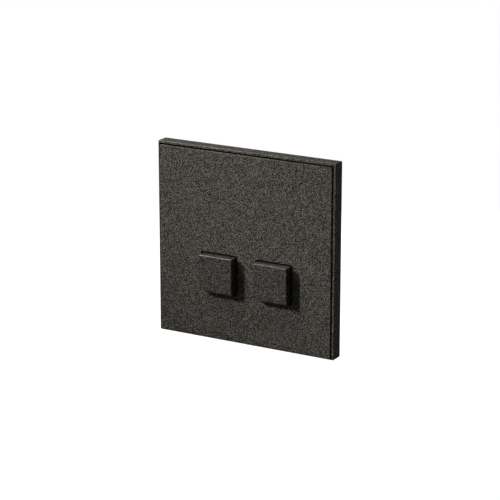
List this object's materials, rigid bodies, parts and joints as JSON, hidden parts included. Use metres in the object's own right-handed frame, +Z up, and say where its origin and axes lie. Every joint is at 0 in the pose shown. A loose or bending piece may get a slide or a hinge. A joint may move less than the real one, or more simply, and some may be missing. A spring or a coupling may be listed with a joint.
{
  "type": "push-button wall switch",
  "caption": "Square textured metal wall switch plate with square push buttons over a moulded two-pole push mechanism that screws to a wall box.",
  "frame": {"origin": "on the wall plane, midway between the two box screws, at the centre of the square plate", "axes": "+Y into the wall, so the buttons face -Y; +Z up; +X to the right as seen from the room"},
  "size_m": [0.086, 0.0371, 0.086],
  "materials": {
    "textured_metal": "fine-grained textured bronze-grey powder coat",
    "housing_plastic": "moulded light grey thermoset",
    "cover_plastic": "moulded black",
    "carrier_plastic": "moulded black acetal",
    "plated_steel": "zinc-plated sheet",
    "screw_steel": "zinc-plated",
    "spring_steel": "bright drawn",
    "brass": "stamped",
    "silver": "satin silver alloy"
  },
  "bodies": {
    "wall_plate": {"front_panel": "textured_metal", "trim_frame": "textured_metal", "panel_studs": "brass", "stud_grips": "spring_steel", "support_plate": "plated_steel", "frame_screws": "screw_steel", "mechanism_screws": "screw_steel", "mechanism_cover": "cover_plastic", "mechanism_housing": "housing_plastic", "terminal_blocks": "brass", "terminal_screws": "screw_steel", "fixed_tips": "silver", "earth_tab": "brass", "earth_screw": "screw_steel", "return_spring_left": "spring_steel", "lever_spring_left": "spring_steel", "pivot_pin_left": "spring_steel", "common_contact_left": "brass", "fixed_contact_left": "brass", "return_spring_right": "spring_steel", "lever_spring_right": "spring_steel", "pivot_pin_right": "spring_steel", "common_contact_right": "brass", "fixed_contact_right": "brass"},
    "left_button": {"button_cap_left": "textured_metal", "button_carrier_left": "carrier_plastic"},
    "left_lever": {"contact_lever_left": "brass", "moving_tip_left": "silver"},
    "right_button": {"button_cap_right": "textured_metal", "button_carrier_right": "carrier_plastic"},
    "right_lever": {"contact_lever_right": "brass", "moving_tip_right": "silver"}
  },
  "joints": [
    {"name": "left_button_press", "type": "slide", "parent": "wall_plate", "child": "left_button", "axis": [0, 1, 0], "range_m": [0, 0.0025], "stiffness_N_per_m": 400, "springref_m": -0.002, "deforming": ["return_spring_left"]},
    {"name": "left_lever_tilt", "type": "hinge", "parent": "wall_plate", "child": "left_lever", "pos_m": [-0.01295, 0.0098, -0.0047], "axis": [1, 0, 0], "range_deg": [0, 18], "deforming": ["lever_spring_left"]},
    {"name": "right_button_press", "type": "slide", "parent": "wall_plate", "child": "right_button", "axis": [0, 1, 0], "range_m": [0, 0.0025], "stiffness_N_per_m": 400, "springref_m": -0.002, "deforming": ["return_spring_right"]},
    {"name": "right_lever_tilt", "type": "hinge", "parent": "wall_plate", "child": "right_lever", "pos_m": [0.01385, 0.0098, -0.0047], "axis": [1, 0, 0], "range_deg": [0, 18], "deforming": ["lever_spring_right"]}
  ],
  "couplings": [
    {"joint": "left_lever_tilt", "follows": "left_button_press", "rad_per_m": 125},
    {"joint": "right_lever_tilt", "follows": "right_button_press", "rad_per_m": 125}
  ]
}
